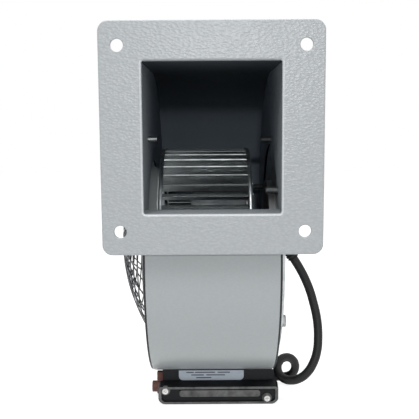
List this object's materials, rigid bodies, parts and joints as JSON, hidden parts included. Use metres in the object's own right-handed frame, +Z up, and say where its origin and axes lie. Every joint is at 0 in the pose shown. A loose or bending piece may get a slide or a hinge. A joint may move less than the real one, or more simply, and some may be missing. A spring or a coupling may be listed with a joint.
{
  "type": "centrifugal fan",
  "caption": "Sheet-metal centrifugal fan with a flanged square outlet, scroll casing, drum impeller on an external-rotor motor, domed inlet guard and terminal box.",
  "frame": {"origin": "centre of the outlet flange's front face, on the centre of its bolt pattern", "axes": "+Z up, -Y out of the outlet, +X towards the motor side, along the impeller's axis"},
  "size_m": [0.1619, 0.23, 0.289],
  "materials": {
    "casing_paint": "hammered silver-grey paint",
    "galvanised_sheet": "bright galvanised sheet",
    "guard_wire": "zinc-plated wire",
    "zinc_fasteners": "zinc-plated steel",
    "cast_alloy": "as-cast, satin",
    "core_steel": "laminated electrical steel",
    "rotor_steel": "drawn steel, satin",
    "bearing_steel": "ground and polished",
    "copper_winding": "varnished copper wire",
    "black_rubber": "matt black rubber",
    "cable_sheath": "satin black sheath",
    "black_plastic": "moulded black plastic",
    "label_foil": "printed foil",
    "plug_plastic": "red-brown plastic",
    "block_plastic": "ivory plastic",
    "brass_screws": "turned brass"
  },
  "bodies": {
    "housing": {"outlet_flange": "casing_paint", "scroll_wrapper": "casing_paint", "inlet_side_plate": "casing_paint", "motor_side_plate": "casing_paint", "inlet_ring": "casing_paint", "guard_rings": "guard_wire", "guard_spokes": "guard_wire", "guard_clips": "zinc_fasteners", "guard_screws": "zinc_fasteners", "motor_plate": "galvanised_sheet", "motor_plate_bolts": "zinc_fasteners", "motor_flange": "cast_alloy", "motor_flange_screws": "zinc_fasteners", "stator_core": "core_steel", "stator_coils": "copper_winding", "bearing_outer_rings": "bearing_steel", "cable_boot": "black_rubber", "motor_cable": "cable_sheath", "terminal_box": "black_plastic", "terminal_box_screws": "zinc_fasteners", "box_cover": "black_plastic", "cover_gasket": "black_rubber", "cover_screws": "zinc_fasteners", "box_label": "label_foil", "cable_gland": "black_plastic", "inlet_plug": "plug_plastic", "terminal_block": "block_plastic", "terminal_screws": "brass_screws", "run_capacitor": "black_plastic"},
    "rotor": {"bearing_inner_rings": "bearing_steel", "bearing_balls": "bearing_steel", "motor_shaft": "bearing_steel", "shaft_circlip": "rotor_steel", "rotor_cup": "rotor_steel", "rotor_core": "core_steel", "impeller_blades": "galvanised_sheet", "impeller_end_ring": "galvanised_sheet", "impeller_back_disc": "galvanised_sheet", "impeller_rivets": "zinc_fasteners"}
  },
  "joints": [
    {"name": "impeller_spin", "type": "hinge", "parent": "housing", "child": "rotor", "pos_m": [0, 0.107, -0.084], "axis": [1, 0, 0], "continuous": true}
  ]
}
